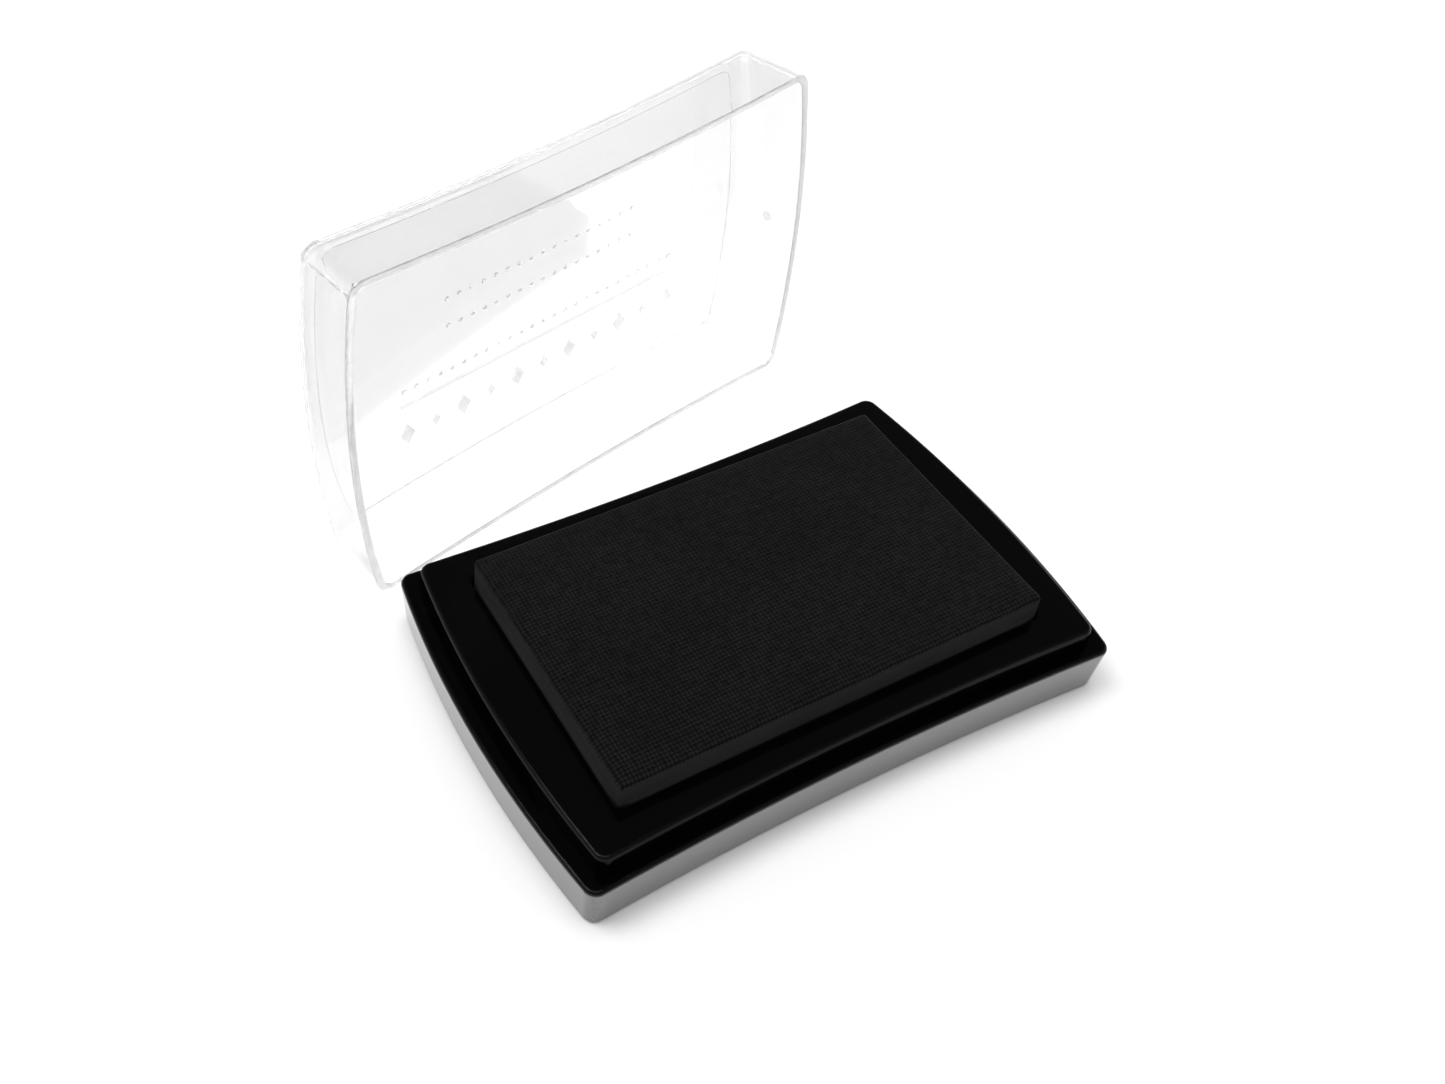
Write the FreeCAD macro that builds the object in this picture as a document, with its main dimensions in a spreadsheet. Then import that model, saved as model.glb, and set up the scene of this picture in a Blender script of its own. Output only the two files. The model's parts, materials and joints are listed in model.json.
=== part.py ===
import FreeCAD, Part
import math
import os
import Sketcher

# A raised ink pad for rubber stamps, with its loose clear lid standing on edge behind it.
# Frame: millimetres, +Z up, +X along the long side, +Y towards the back. The origin is the
# middle of the base's underside, which is the face the pad stands on.

SIZES = [
    # the case, seen from above: four bowed sides that meet at the corners
    ("case_length", 97.0, "corner to corner along the long side"),
    ("case_width", 66.6, "corner to corner along the short side"),
    ("end_bow", 2.9, "how far the short ends swell outwards"),
    ("side_bow", 1.6, "how far the long sides curve inwards"),
    ("case_corner", 2.2, "round of the upright corners"),
    # base shell
    ("flange_height", 9.4, "table to the ledge that the lid sits on"),
    ("platform_height", 3.8, "ledge to the deck round the pad"),
    ("lid_play_end", 1.1, "between the lid's wall and the platform at the corners, along X"),
    ("lid_play_side", 0.9, "between the lid's wall and the platform at the corners, along Y"),
    ("platform_end_bow", 2.3, "swell of the platform's ends"),
    ("platform_side_bow", 1.4, "inward curve of the platform's sides"),
    ("platform_corner", 2.0, "round of the platform's upright corners"),
    ("skirt_draft", 4.0, "degrees that the skirt leans in towards the table"),
    ("platform_draft", 3.0, "degrees of draft on the platform's sides"),
    ("shell_wall", 1.6, "moulded wall of the base shell"),
    ("outer_round", 0.7, "round of the shell's outside edges"),
    # the inked pad
    ("deck_at_end", 6.5, "pad to the platform's corners, along X"),
    ("deck_at_side", 6.7, "pad to the platform's corners, along Y"),
    ("pad_stands", 4.9, "inked face above the deck"),
    ("pad_corner", 1.6, "round of the pad's upright corners"),
    ("well_depth", 5.4, "deck down to the floor of the well"),
    ("well_gap", 0.35, "space round the pad in its well"),
    ("cloth_thick", 0.6, "woven cover"),
    ("cloth_hem", 8.0, "cloth turned in under the backing board"),
    ("cloth_ease", 0.05, "slack between the cloth and what it wraps"),
    ("board_thick", 1.2, "stiff board under the foam"),
    ("tape_margin", 0.4, "space between the foam tape and the hem"),
    # closing plate
    ("plate_thick", 1.6, "bottom plate"),
    ("plate_gap", 0.15, "space round the bottom plate"),
    ("post_inset", 8.4, "fixing posts inside the edge of the pad"),
    ("post_radius", 3.2, "outside of each socket under the well"),
    ("pin_radius", 1.7, "pins on the plate that press into the sockets"),
    ("pin_gap", 0.03, "between a pin and its socket, all round"),
    ("pin_short", 0.6, "pins end this far under the well"),
    ("label_side", 17.5, "paper label to the ends of the case"),
    ("label_width", 16.0, "paper label, along Y"),
    ("label_front", 9.3, "paper label to the front of the case"),
    ("label_play", 0.5, "space round the label in its recess"),
    ("label_thick", 0.15, "paper"),
    ("label_recess", 0.4, "recess that keeps the label off the table"),
    # the clear lid
    ("pad_air", 5.2, "inked face to the inside of the panel, rim on the ledge"),
    ("lid_wall", 1.4, "wall and panel"),
    ("lid_corner", 3.0, "round of the lid's upright corners"),
    ("lid_edge", 2.4, "round between the walls and the panel"),
    ("lid_draft", 2.5, "degrees that the walls lean in towards the panel"),
    ("border_width", 4.8, "band round the panel's sunk middle"),
    ("border_step", 0.45, "depth of the sunk middle"),
    ("border_corner", 2.5, "corner round of the sunk middle"),
    ("seat_gap", 0.2, "rim above the ledge when the lid is on"),
    # where the loose lid stands
    ("stand_back", 48.0, "middle of the pad to the middle of the standing rim's foot"),
    ("stand_turn", 12.0, "degrees that the standing lid is turned about the upright"),
]
SIZE = {name: value for name, value, _ in SIZES}

# Where the bottom of each layer of the inked pad lies, as sheet expressions.
DECK = "(sizes.flange_height + sizes.platform_height)"
WELL_FLOOR = f"({DECK} - sizes.well_depth)"
BOARD_FOOT = f"({WELL_FLOOR} + sizes.cloth_thick)"
FOAM_FOOT = f"({BOARD_FOOT} + sizes.board_thick)"
PAD_TOP = f"({DECK} + sizes.pad_stands)"

# Plan sizes that follow from the case.
LEDGE_END = "(sizes.lid_wall + sizes.lid_play_end)"
LEDGE_SIDE = "(sizes.lid_wall + sizes.lid_play_side)"
PAD_LENGTH = f"(sizes.case_length - 2 * {LEDGE_END} - 2 * sizes.deck_at_end)"
PAD_WIDTH = f"(sizes.case_width - 2 * {LEDGE_SIDE} - 2 * sizes.deck_at_side)"
LID_HEIGHT = "(sizes.platform_height + sizes.pad_stands + sizes.pad_air + sizes.lid_wall)"

doc = FreeCAD.newDocument("ink_pad")
sheet = doc.addObject("Spreadsheet::Sheet", "sizes")
for row, (alias, value, meaning) in enumerate(SIZES, start=1):
    sheet.set(f"A{row}", alias)
    sheet.set(f"B{row}", str(value))
    sheet.setAlias(f"B{row}", alias)
    sheet.set(f"C{row}", meaning)
doc.recompute()


def new_body(label):
    body = doc.addObject("PartDesign::Body", label)
    body.Label = label
    return body


def new_sketch(body, name, height=None):
    """A sketch on the body's own XY plane, raised to the height that an expression gives."""
    sketch = body.newObject("Sketcher::SketchObject", name)
    plane = next(f for f in body.Origin.OriginFeatures if f.Role == "XY_Plane")
    sketch.AttachmentSupport = [(plane, "")]
    sketch.MapMode = "FlatFace"
    if height:
        sketch.setExpression("AttachmentOffset.Base.z", height)
    return sketch


def bind(sketch, constraint, expression):
    index = sketch.addConstraint(constraint)
    sketch.setExpression(f"Constraints[{index}]", expression)


def bowed_outline(sketch, half_length, half_width, end_bow, side_bow):
    """Four arcs: ends that swell outwards and sides that curve inwards."""
    reach, depth = SIZE["case_length"] / 2, SIZE["case_width"] / 2
    up = FreeCAD.Vector(0, 0, 1)

    def arc(centre, first, last):
        angle = [math.atan2(p[1] - centre[1], p[0] - centre[0]) for p in (first, last)]
        if angle[1] < angle[0]:
            angle[1] += 2 * math.pi
        radius = math.dist(centre, first)
        circle = Part.Circle(FreeCAD.Vector(centre[0], centre[1], 0), up, radius)
        return sketch.addGeometry(Part.ArcOfCircle(circle, angle[0], angle[1]), False)

    def arc_radius(chord, bow):
        return (chord**2 + bow**2) / (2 * bow)

    end_radius = arc_radius(depth, SIZE["end_bow"])
    side_radius = arc_radius(reach, SIZE["side_bow"])
    end_centre = reach + SIZE["end_bow"] - end_radius
    side_centre = depth - SIZE["side_bow"] + side_radius
    front_left, front_right = (-reach, -depth), (reach, -depth)
    back_right, back_left = (reach, depth), (-reach, depth)
    front = arc((0, -side_centre), front_right, front_left)
    right = arc((end_centre, 0), front_right, back_right)
    back = arc((0, side_centre), back_left, back_right)
    left = arc((-end_centre, 0), back_left, front_left)
    for one, other in (((front, 1), (right, 1)), ((front, 2), (left, 2)),
                       ((back, 1), (left, 1)), ((back, 2), (right, 2))):
        sketch.addConstraint(Sketcher.Constraint("Coincident", *one, *other))
    origin, y_axis = (-1, 1), -2
    sketch.addConstraint(Sketcher.Constraint("Symmetric", front, 2, back, 2, *origin))
    sketch.addConstraint(Sketcher.Constraint("Symmetric", front, 1, back, 1, *origin))
    sketch.addConstraint(Sketcher.Constraint("Symmetric", front, 1, front, 2, y_axis))
    sketch.addConstraint(Sketcher.Constraint("Equal", front, back))
    sketch.addConstraint(Sketcher.Constraint("Equal", right, left))
    bind(sketch, Sketcher.Constraint("DistanceX", *origin, back, 2, reach), half_length)
    bind(sketch, Sketcher.Constraint("DistanceY", *origin, back, 2, depth), half_width)
    radius_of = "(({chord})^2 + ({bow})^2) / (2 * ({bow}))"
    bind(sketch, Sketcher.Constraint("Radius", front, side_radius),
         radius_of.format(chord=half_length, bow=side_bow))
    bind(sketch, Sketcher.Constraint("Radius", right, end_radius),
         radius_of.format(chord=half_width, bow=end_bow))


def rectangle(sketch, length, width, middle_y="0"):
    """A rectangle centred on the Y axis, with its middle at middle_y."""
    x, y = SIZE["case_length"] / 3, SIZE["case_width"] / 3
    corner = [FreeCAD.Vector(*p, 0) for p in ((-x, -y), (x, -y), (x, y), (-x, y))]
    side = [sketch.addGeometry(Part.LineSegment(corner[i], corner[(i + 1) % 4]), False)
            for i in range(4)]
    for i in range(4):
        sketch.addConstraint(Sketcher.Constraint("Coincident", side[i], 2, side[(i + 1) % 4], 1))
    for way, line in (("Vertical", side[1]), ("Horizontal", side[2]), ("Vertical", side[3])):
        sketch.addConstraint(Sketcher.Constraint(way, line))
    sketch.addConstraint(Sketcher.Constraint("Symmetric", side[0], 1, side[0], 2, -2))
    bind(sketch, Sketcher.Constraint("DistanceX", side[0], 1, side[0], 2, 2 * x), length)
    bind(sketch, Sketcher.Constraint("DistanceY", side[1], 1, side[1], 2, 2 * y), width)
    bind(sketch, Sketcher.Constraint("DistanceY", -1, 1, side[1], 2, y),
         f"{middle_y} + ({width}) / 2")


def four_circles(sketch, radius):
    """A circle at each fixing post."""
    x, y = SIZE["case_length"] / 3, SIZE["case_width"] / 4
    up = FreeCAD.Vector(0, 0, 1)
    first = None
    for sign_x, sign_y in ((1, 1), (-1, 1), (-1, -1), (1, -1)):
        centre = FreeCAD.Vector(sign_x * x, sign_y * y, 0)
        ring = sketch.addGeometry(Part.Circle(centre, up, SIZE["pin_radius"]), False)
        if first is None:
            first = ring
            bind(sketch, Sketcher.Constraint("Radius", ring, SIZE["pin_radius"]), radius)
            bind(sketch, Sketcher.Constraint("DistanceX", -1, 1, ring, 3, x),
                 f"{PAD_LENGTH} / 2 - sizes.post_inset")
            bind(sketch, Sketcher.Constraint("DistanceY", -1, 1, ring, 3, y),
                 f"{PAD_WIDTH} / 2 - sizes.post_inset")
            continue
        sketch.addConstraint(Sketcher.Constraint("Equal", first, ring))
        if sign_x == sign_y:
            sketch.addConstraint(Sketcher.Constraint("Symmetric", first, 3, ring, 3, -1, 1))
        else:
            mirror = -2 if sign_x < 0 else -1
            sketch.addConstraint(Sketcher.Constraint("Symmetric", first, 3, ring, 3, mirror))


def extrude(kind, body, sketch, length, upwards=True, draft=None):
    """A Pad or Pocket whose length is an expression. A Pad's own way is up, a Pocket's is down."""
    feature = body.newObject(f"PartDesign::{kind}", f"{kind.lower()}_{sketch.Name}")
    feature.Profile = sketch
    feature.Reversed = upwards if kind == "Pocket" else not upwards
    feature.setExpression("Length", length)
    if draft:
        feature.setExpression("TaperAngle", draft)
    sketch.Visibility = False
    doc.recompute()
    return feature


def dress(body, kind, feature, edges, size):
    """A Fillet on the edges that pass the test."""
    dressing = body.newObject(f"PartDesign::{kind}", f"{kind.lower()}_{feature.Name}")
    names = [f"Edge{i}" for i, edge in enumerate(feature.Shape.Edges, start=1) if edges(edge)]
    dressing.Base = (feature, names)
    dressing.setExpression("Radius", size)
    doc.recompute()
    return dressing


def upright(low, high):
    """The edges that climb from one height to another: the corners of a plain or drafted block."""
    return lambda edge: (abs(edge.BoundBox.ZMin - low) < 0.01
                         and abs(edge.BoundBox.ZMax - high) < 0.01)


def level(height):
    """The edges that lie all round at one height."""
    return upright(height, height)


# ---- base shell: skirt, ledge, platform and well, moulded in one ------------------------------
base_shell = new_body("base_shell")
case_outline = ("sizes.case_length / 2", "sizes.case_width / 2", "sizes.end_bow",
                "sizes.side_bow")
skirt_sketch = new_sketch(base_shell, "skirt_outline", "sizes.flange_height")
bowed_outline(skirt_sketch, *case_outline)
skirt = extrude("Pad", base_shell, skirt_sketch, "sizes.flange_height", upwards=False,
                draft="-sizes.skirt_draft")
ledge_z = SIZE["flange_height"]
skirt = dress(base_shell, "Fillet", skirt, upright(0, ledge_z), "sizes.case_corner")
skirt = dress(base_shell, "Fillet", skirt, lambda e: level(0)(e) or level(ledge_z)(e),
              "sizes.outer_round")

platform_outline = (f"sizes.case_length / 2 - {LEDGE_END}", f"sizes.case_width / 2 - {LEDGE_SIDE}",
                    "sizes.platform_end_bow", "sizes.platform_side_bow")
platform_sketch = new_sketch(base_shell, "platform_outline", "sizes.flange_height")
bowed_outline(platform_sketch, *platform_outline)
platform = extrude("Pad", base_shell, platform_sketch, "sizes.platform_height",
                   draft="-sizes.platform_draft")
deck_z = ledge_z + SIZE["platform_height"]
platform = dress(base_shell, "Fillet", platform, upright(ledge_z, deck_z),
                 "sizes.platform_corner")
platform = dress(base_shell, "Fillet", platform, level(deck_z), "sizes.outer_round")

well_length = f"({PAD_LENGTH} + 2 * sizes.well_gap)"
well_width = f"({PAD_WIDTH} + 2 * sizes.well_gap)"
well_sketch = new_sketch(base_shell, "well_outline", WELL_FLOOR)
rectangle(well_sketch, well_length, well_width)
well = extrude("Pocket", base_shell, well_sketch, "sizes.well_depth")
well = dress(base_shell, "Fillet", well, upright(deck_z - SIZE["well_depth"], deck_z),
             "sizes.pad_corner + sizes.well_gap")

# The hollow underside follows the skirt and the platform and leaves a wall round the well.
island = (f"{well_length} + 2 * sizes.shell_wall", f"{well_width} + 2 * sizes.shell_wall")
skirt_lean = "sizes.flange_height * tan(sizes.skirt_draft * 1 deg)"
skirt_inset = f"(sizes.shell_wall + {skirt_lean})"
cavity_outline = (f"sizes.case_length / 2 - {skirt_inset}",
                  f"sizes.case_width / 2 - {skirt_inset}", "sizes.end_bow", "sizes.side_bow")
cavity_top = f"({WELL_FLOOR} - sizes.shell_wall)"
cavity_sketch = new_sketch(base_shell, "cavity_outline")
bowed_outline(cavity_sketch, *cavity_outline)
extrude("Pocket", base_shell, cavity_sketch, cavity_top)

ledge_sketch = new_sketch(base_shell, "under_ledge_outline")
bowed_outline(ledge_sketch, *cavity_outline)
rectangle(ledge_sketch, *island)
extrude("Pocket", base_shell, ledge_sketch, "sizes.flange_height - sizes.shell_wall")

deck_sketch = new_sketch(base_shell, "under_deck_outline")
platform_inset = "(sizes.shell_wall + sizes.platform_height * tan(sizes.platform_draft * 1 deg))"
bowed_outline(deck_sketch, f"{platform_outline[0]} - {platform_inset}",
              f"{platform_outline[1]} - {platform_inset}", *platform_outline[2:])
rectangle(deck_sketch, *island)
extrude("Pocket", base_shell, deck_sketch, f"{DECK} - sizes.shell_wall")

# Four sockets hang under the well floor and stand on the bottom plate.
socket_sketch = new_sketch(base_shell, "socket_outline", "sizes.plate_thick")
four_circles(socket_sketch, "sizes.post_radius")
extrude("Pad", base_shell, socket_sketch, f"{cavity_top} - sizes.plate_thick")
socket_bore_sketch = new_sketch(base_shell, "socket_bore", "sizes.plate_thick")
four_circles(socket_bore_sketch, "sizes.pin_radius + sizes.pin_gap")
extrude("Pocket", base_shell, socket_bore_sketch, f"{cavity_top} - sizes.plate_thick")

# ---- bottom plate: closes the shell and carries the pins ---------------------------------------
bottom_plate = new_body("bottom_plate")
plate_sketch = new_sketch(bottom_plate, "plate_outline")
bowed_outline(plate_sketch, f"{cavity_outline[0]} - sizes.plate_gap",
              f"{cavity_outline[1]} - sizes.plate_gap", "sizes.end_bow", "sizes.side_bow")
plate = extrude("Pad", bottom_plate, plate_sketch, "sizes.plate_thick")
plate_pin_sketch = new_sketch(bottom_plate, "pin_outline")
four_circles(plate_pin_sketch, "sizes.pin_radius")
extrude("Pad", bottom_plate, plate_pin_sketch, f"{cavity_top} - sizes.pin_short")
label_length = "sizes.case_length - 2 * sizes.label_side"
label_middle = "sizes.label_front + sizes.label_width / 2 - sizes.case_width / 2"
recess_sketch = new_sketch(bottom_plate, "label_recess")
rectangle(recess_sketch, f"{label_length} + 2 * sizes.label_play",
          "sizes.label_width + 2 * sizes.label_play", label_middle)
extrude("Pocket", bottom_plate, recess_sketch, "sizes.label_recess")

# ---- blank paper label stuck in the recess -----------------------------------------------------
underside_label = new_body("underside_label")
label_sketch = new_sketch(underside_label, "label_outline",
                          "sizes.label_recess - sizes.label_thick")
rectangle(label_sketch, label_length, "sizes.label_width", label_middle)
extrude("Pad", underside_label, label_sketch, "sizes.label_thick")

# ---- the inked pad: woven cover, foam, backing board and foam tape -----------------------------
cloth_cover = new_body("cloth_cover")
cover_sketch = new_sketch(cloth_cover, "cover_outline", WELL_FLOOR)
rectangle(cover_sketch, PAD_LENGTH, PAD_WIDTH)
cover = extrude("Pad", cloth_cover, cover_sketch, f"{PAD_TOP} - {WELL_FLOOR}")
pad_top_z = deck_z + SIZE["pad_stands"]
cover = dress(cloth_cover, "Fillet", cover, upright(deck_z - SIZE["well_depth"], pad_top_z),
              "sizes.pad_corner")
cover = dress(cloth_cover, "Fillet", cover, level(pad_top_z), "sizes.cloth_thick")
inside = (f"{PAD_LENGTH} - 2 * sizes.cloth_thick", f"{PAD_WIDTH} - 2 * sizes.cloth_thick")
room_sketch = new_sketch(cloth_cover, "room_in_cover", BOARD_FOOT)
rectangle(room_sketch, *inside)
extrude("Pocket", cloth_cover, room_sketch, f"{PAD_TOP} - sizes.cloth_thick - {BOARD_FOOT}")
hem_opening = (f"{PAD_LENGTH} - 2 * sizes.cloth_hem", f"{PAD_WIDTH} - 2 * sizes.cloth_hem")
hem_sketch = new_sketch(cloth_cover, "hem_opening", WELL_FLOOR)
rectangle(hem_sketch, *hem_opening)
extrude("Pocket", cloth_cover, hem_sketch, "sizes.cloth_thick")


def filling(label, foot, thickness, plan):
    """A plain block of the pad's filling, on the middle of the well."""
    body = new_body(label)
    sketch = new_sketch(body, f"{label}_outline", foot)
    rectangle(sketch, *plan)
    extrude("Pad", body, sketch, thickness)
    return body


wrapped = tuple(f"{size} - 2 * sizes.cloth_ease" for size in inside)
foam_core = filling("foam_core", FOAM_FOOT, f"{PAD_TOP} - sizes.cloth_thick - {FOAM_FOOT}",
                    wrapped)
backing_board = filling("backing_board", BOARD_FOOT, "sizes.board_thick", wrapped)
tape = tuple(f"{size} - 2 * sizes.tape_margin" for size in hem_opening)
foam_tape = filling("foam_tape", WELL_FLOOR, "sizes.cloth_thick", tape)

# ---- lid: a clear tray, drawn as it sits on the case with the middle of its rim at its origin ---
lid = new_body("lid")
lid_sketch = new_sketch(lid, "lid_outline")
bowed_outline(lid_sketch, *case_outline)
lid_block = extrude("Pad", lid, lid_sketch, LID_HEIGHT, draft="-sizes.lid_draft")
lid_z = SIZE["platform_height"] + SIZE["pad_stands"] + SIZE["pad_air"] + SIZE["lid_wall"]
lid_block = dress(lid, "Fillet", lid_block, upright(0, lid_z), "sizes.lid_corner")
lid_block = dress(lid, "Fillet", lid_block, level(lid_z), "sizes.lid_edge")
hollow_sketch = new_sketch(lid, "hollow_outline")
bowed_outline(hollow_sketch, "sizes.case_length / 2 - sizes.lid_wall",
              "sizes.case_width / 2 - sizes.lid_wall", "sizes.end_bow", "sizes.side_bow")
hollow = extrude("Pocket", lid, hollow_sketch, f"{LID_HEIGHT} - sizes.lid_wall",
                 draft="-sizes.lid_draft")
ceiling_z = lid_z - SIZE["lid_wall"]
hollow = dress(lid, "Fillet", hollow, upright(0, ceiling_z), "sizes.lid_corner - sizes.lid_wall")
dress(lid, "Fillet", hollow, level(ceiling_z), "sizes.lid_edge - sizes.lid_wall")
border_sketch = new_sketch(lid, "border_outline", f"{LID_HEIGHT} - sizes.border_step")
bowed_outline(border_sketch, "sizes.case_length / 2 - sizes.border_width",
              "sizes.case_width / 2 - sizes.border_width", "sizes.end_bow", "sizes.side_bow")
border = extrude("Pocket", lid, border_sketch, "sizes.border_step")
dress(lid, "Fillet", border, upright(lid_z - SIZE["border_step"], lid_z), "sizes.border_corner")

# The loose lid stands on the outside of one long wall, leaning back by that wall's draft, with
# its hollow towards the base. Seen from above it is turned a little. It is moved along the table
# until one turn about a fixed slanted line can carry it from there to its seat on the case.
closed_seat = FreeCAD.Vector(0, 0, SIZE["flange_height"] + SIZE["seat_gap"])
tipped = FreeCAD.Rotation(FreeCAD.Vector(1, 0, 0), -(90 + SIZE["lid_draft"]))
turned = FreeCAD.Rotation(FreeCAD.Vector(0, 0, 1), SIZE["stand_turn"])
standing = turned * tipped
shape = lid.Shape.copy()
shape.Placement = FreeCAD.Placement(FreeCAD.Vector(), tipped)
foot = shape.optimalBoundingBox(False).ZMin
lean_back = SIZE["case_width"] / 2 * math.sin(math.radians(SIZE["lid_draft"]))
rim_middle = FreeCAD.Vector(0, SIZE["stand_back"] + lean_back, -foot)
line = standing.Axis
rim_middle.x = -(line.y * rim_middle.y + line.z * (rim_middle.z - closed_seat.z)) / line.x
lid.Placement = FreeCAD.Placement(rim_middle, standing)

# ---- check and write ------------------------------------------------------------------------------
doc.recompute()
pieces = [base_shell, bottom_plate, underside_label, cloth_cover, foam_core, backing_board,
          foam_tape, lid]
for item in doc.Objects:
    if "Invalid" in item.State or "Error" in item.State:
        raise RuntimeError(f"{item.Label} did not build: {item.State}")
os.makedirs("parts", exist_ok=True)
for piece in pieces:
    shape = piece.Shape
    if shape.isNull() or not shape.isValid() or len(shape.Solids) != 1:
        raise RuntimeError(f"{piece.Label} is not one valid solid")
for piece in pieces:
    piece.Shape.exportStep(f"parts/{piece.Label}.step")
    box = piece.Shape.optimalBoundingBox(False)
    print(f"{piece.Label:16s} {piece.Shape.Volume:10.1f} mm3  "
          f"x {box.XMin:.2f} {box.XMax:.2f}  y {box.YMin:.2f} {box.YMax:.2f}  "
          f"z {box.ZMin:.2f} {box.ZMax:.2f}")
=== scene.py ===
"""A raised ink pad for rubber stamps with its loose clear lid standing behind it.

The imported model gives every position. This file adds the soft pad, the fine detail of the lid,
the materials and a small white studio.
"""

import json
import math

import bmesh
import bpy
from bpy.props import FloatProperty, FloatVectorProperty, IntProperty, PointerProperty
from bpy.types import Operator, Panel, PropertyGroup
from mathutils import Matrix, Vector


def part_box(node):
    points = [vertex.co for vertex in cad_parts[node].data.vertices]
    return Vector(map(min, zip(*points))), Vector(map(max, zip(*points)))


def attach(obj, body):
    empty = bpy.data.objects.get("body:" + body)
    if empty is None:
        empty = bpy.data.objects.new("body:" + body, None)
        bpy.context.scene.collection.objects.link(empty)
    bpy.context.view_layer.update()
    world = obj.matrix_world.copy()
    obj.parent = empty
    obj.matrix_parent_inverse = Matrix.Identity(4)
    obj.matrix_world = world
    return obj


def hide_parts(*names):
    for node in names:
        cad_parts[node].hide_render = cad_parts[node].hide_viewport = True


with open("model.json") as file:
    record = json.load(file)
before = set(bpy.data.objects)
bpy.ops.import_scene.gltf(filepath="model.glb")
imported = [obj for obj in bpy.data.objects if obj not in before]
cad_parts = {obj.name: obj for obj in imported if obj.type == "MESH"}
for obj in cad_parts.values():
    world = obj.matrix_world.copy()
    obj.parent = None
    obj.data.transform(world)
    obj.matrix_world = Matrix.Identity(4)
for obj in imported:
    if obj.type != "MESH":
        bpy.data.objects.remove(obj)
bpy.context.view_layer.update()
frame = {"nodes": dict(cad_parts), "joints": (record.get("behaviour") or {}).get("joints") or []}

bl_info = {
    "name": "Ink pad with a clear lid",
    "version": (1, 0, 0),
    "blender": (4, 5, 0),
    "location": "3D View > Sidebar > Ink pad",
    "description": "Builds the looks of a raised ink pad and its loose clear lid",
    "category": "Object",
}

MM = 0.001


def linear(code):
    """A colour socket's four values from an sRGB hex code."""
    parts = [int(code[i:i + 2], 16) / 255 for i in (1, 3, 5)]
    return [c / 12.92 if c <= 0.04045 else ((c + 0.055) / 1.055) ** 2.4 for c in parts] + [1.0]


def add_node(tree, kind, inputs=None, **settings):
    """Adds a node. Settings are its own properties. Inputs are values or sockets, by name or
    number."""
    node = tree.nodes.new(kind)
    for name, value in settings.items():
        setattr(node, name, value)
    for name, value in (inputs or {}).items():
        if isinstance(value, bpy.types.NodeSocket):
            tree.links.new(value, node.inputs[name])
        else:
            node.inputs[name].default_value = value
    return node


def start_material(name, shader_inputs):
    """A material with one Principled shader, whose constant values stand on its own sockets."""
    material = bpy.data.materials.new(name)
    material.use_nodes = True
    tree = material.node_tree
    tree.nodes.clear()
    shader = add_node(tree, "ShaderNodeBsdfPrincipled", shader_inputs)
    add_node(tree, "ShaderNodeOutputMaterial", {"Surface": shader.outputs["BSDF"]})
    return material, tree, shader


def finish_cad_node(name, material):
    """Gives a carried-over CAD node its material."""
    mesh = frame["nodes"][name].data
    mesh.materials.clear()
    mesh.materials.append(material)


def new_piece(name, bm, body, material, smooth_angle=40):
    """Turns a bmesh in world metres into a piece that rides on a body."""
    bmesh.ops.recalc_face_normals(bm, faces=bm.faces)
    mesh = bpy.data.meshes.new(name)
    bm.to_mesh(mesh)
    bm.free()
    for polygon in mesh.polygons:
        polygon.use_smooth = True
    mesh.set_sharp_from_angle(angle=math.radians(smooth_angle))
    mesh.materials.append(material)
    piece = bpy.data.objects.new(name, mesh)
    bpy.context.scene.collection.objects.link(piece)
    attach(piece, body)
    return piece


def block(low, high):
    """A bmesh block between two corners."""
    bm = bmesh.new()
    bmesh.ops.create_cube(bm, size=1.0)
    bmesh.ops.scale(bm, vec=high - low, verts=bm.verts)
    bmesh.ops.translate(bm, vec=(low + high) / 2, verts=bm.verts)
    return bm


def round_edges(bm, edges, radius, segments):
    """Bevels edges with an arc."""
    bmesh.ops.bevel(bm, geom=list(edges), offset=radius, segments=segments, profile=0.5,
                    affect="EDGES", material=-1)


def runs_upright(edge):
    """True for an edge that stands along Z."""
    return abs((edge.verts[0].co - edge.verts[1].co).normalized().z) > 0.99


def lid_axes():
    """The lid's own axes at rest, from the joint that carries it to its seat on the case.

    On the case the lid's axes are the frame's, so the standing lid's are the frame's turned
    back by the whole travel. The place is the middle of the seated rim, turned back likewise."""
    joint = next(j for j in frame["joints"] if j["child"] == "lid")
    travel = math.radians(joint["range_deg"][1] - joint["range_deg"][0])
    point = Vector(joint["pos_m"])
    back = Matrix.Rotation(-travel, 4, Vector(joint["axis"]).normalized())
    seat = Vector((0, 0, SEAT))
    return Matrix.Translation(point) @ back @ Matrix.Translation(seat - point)


# Heights and plan sizes that the CAD nodes don't name by themselves, in metres.
LEDGE = 9.4 * MM
SEAT = 9.6 * MM
DECK = 13.2 * MM
LID_DEEP = 15.3 * MM
PANEL_SUNK = 0.45 * MM
LID_DRAFT = math.radians(2.5)

# The ornament on the lid's panel, in metres. Down the standing panel is +y.
ROW_SPAN = 62 * MM
LOZENGE_ROW = 15.8 * MM
RULE_ROW = 9.3 * MM
# Each row of beads: its place, how many beads, and how far it runs.
BEAD_ROWS = ((-9.0 * MM, 17, 42 * MM), (-3.3 * MM, 17, 42 * MM), (6.2 * MM, 25, ROW_SPAN))


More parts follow.
